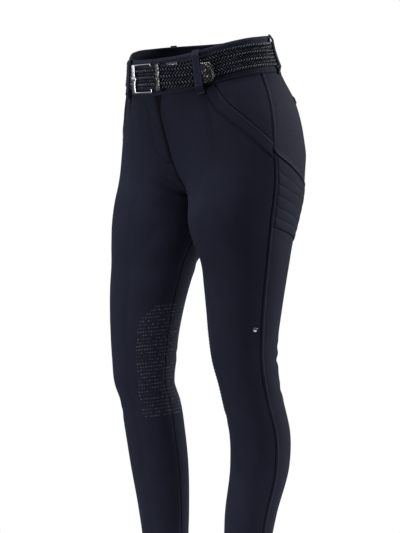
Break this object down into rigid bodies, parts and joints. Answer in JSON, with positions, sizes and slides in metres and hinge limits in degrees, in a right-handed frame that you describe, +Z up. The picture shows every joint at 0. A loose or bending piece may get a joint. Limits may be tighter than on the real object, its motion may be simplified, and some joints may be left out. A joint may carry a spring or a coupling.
{
  "type": "riding breeches with belt",
  "caption": "Dark stretch riding breeches, hollow as worn, with ribbed back panels, slanted hip pockets and a braided belt with a silver frame buckle.",
  "frame": {"origin": "middle of the waist opening, level with the waistband's top edge at the sides", "axes": "+Z up; the wearer faces -Y; +X is the wearer's left"},
  "size_m": [0.346, 0.256, 0.9091],
  "materials": {
    "waistband_left": "matt stretch twill, dark navy",
    "waistband_right": "matt stretch twill, dark navy",
    "front_left": "matt stretch twill, dark navy",
    "front_right": "matt stretch twill, dark navy",
    "hip_facing_left": "matt stretch twill, dark navy",
    "hip_facing_right": "matt stretch twill, dark navy",
    "pocket_band_left": "matt stretch twill, dark navy",
    "pocket_band_right": "matt stretch twill, dark navy",
    "yoke_left": "matt stretch twill, dark navy",
    "yoke_right": "matt stretch twill, dark navy",
    "ribbed_panel_left": "matt stretch twill, dark navy",
    "ribbed_panel_right": "matt stretch twill, dark navy",
    "back_leg_left": "matt stretch twill, dark navy",
    "back_leg_right": "matt stretch twill, dark navy",
    "fly_underlap": "matt stretch twill, dark navy",
    "welt_left": "matt stretch twill, dark navy",
    "welt_right": "matt stretch twill, dark navy",
    "loop_front_left": "matt stretch twill, dark navy",
    "loop_back_left": "matt stretch twill, dark navy",
    "loop_centre_back": "matt stretch twill, dark navy",
    "loop_back_right": "matt stretch twill, dark navy",
    "loop_front_right": "matt stretch twill, dark navy",
    "belt_strap": "elastic braid with a slight shine",
    "belt_tip": "crinkled patent",
    "belt_keeper": "crinkled patent",
    "pocket_button_left": "satin black",
    "pocket_button_right": "satin black",
    "buckle_frame": "polished",
    "buckle_prong": "polished",
    "knee_stud": "polished"
  },
  "bodies": {
    "root": {"waistband_left": "waistband_left", "waistband_right": "waistband_right", "front_left": "front_left", "front_right": "front_right", "hip_facing_left": "hip_facing_left", "hip_facing_right": "hip_facing_right", "pocket_band_left": "pocket_band_left", "pocket_band_right": "pocket_band_right", "yoke_left": "yoke_left", "yoke_right": "yoke_right", "ribbed_panel_left": "ribbed_panel_left", "ribbed_panel_right": "ribbed_panel_right", "back_leg_left": "back_leg_left", "back_leg_right": "back_leg_right", "fly_underlap": "fly_underlap", "welt_left": "welt_left", "welt_right": "welt_right", "loop_front_left": "loop_front_left", "loop_back_left": "loop_back_left", "loop_centre_back": "loop_centre_back", "loop_back_right": "loop_back_right", "loop_front_right": "loop_front_right", "belt_strap": "belt_strap", "belt_tip": "belt_tip", "belt_keeper": "belt_keeper", "pocket_button_left": "pocket_button_left", "pocket_button_right": "pocket_button_right", "buckle_frame": "buckle_frame", "buckle_prong": "buckle_prong", "knee_stud": "knee_stud"}
  },
  "joints": []
}
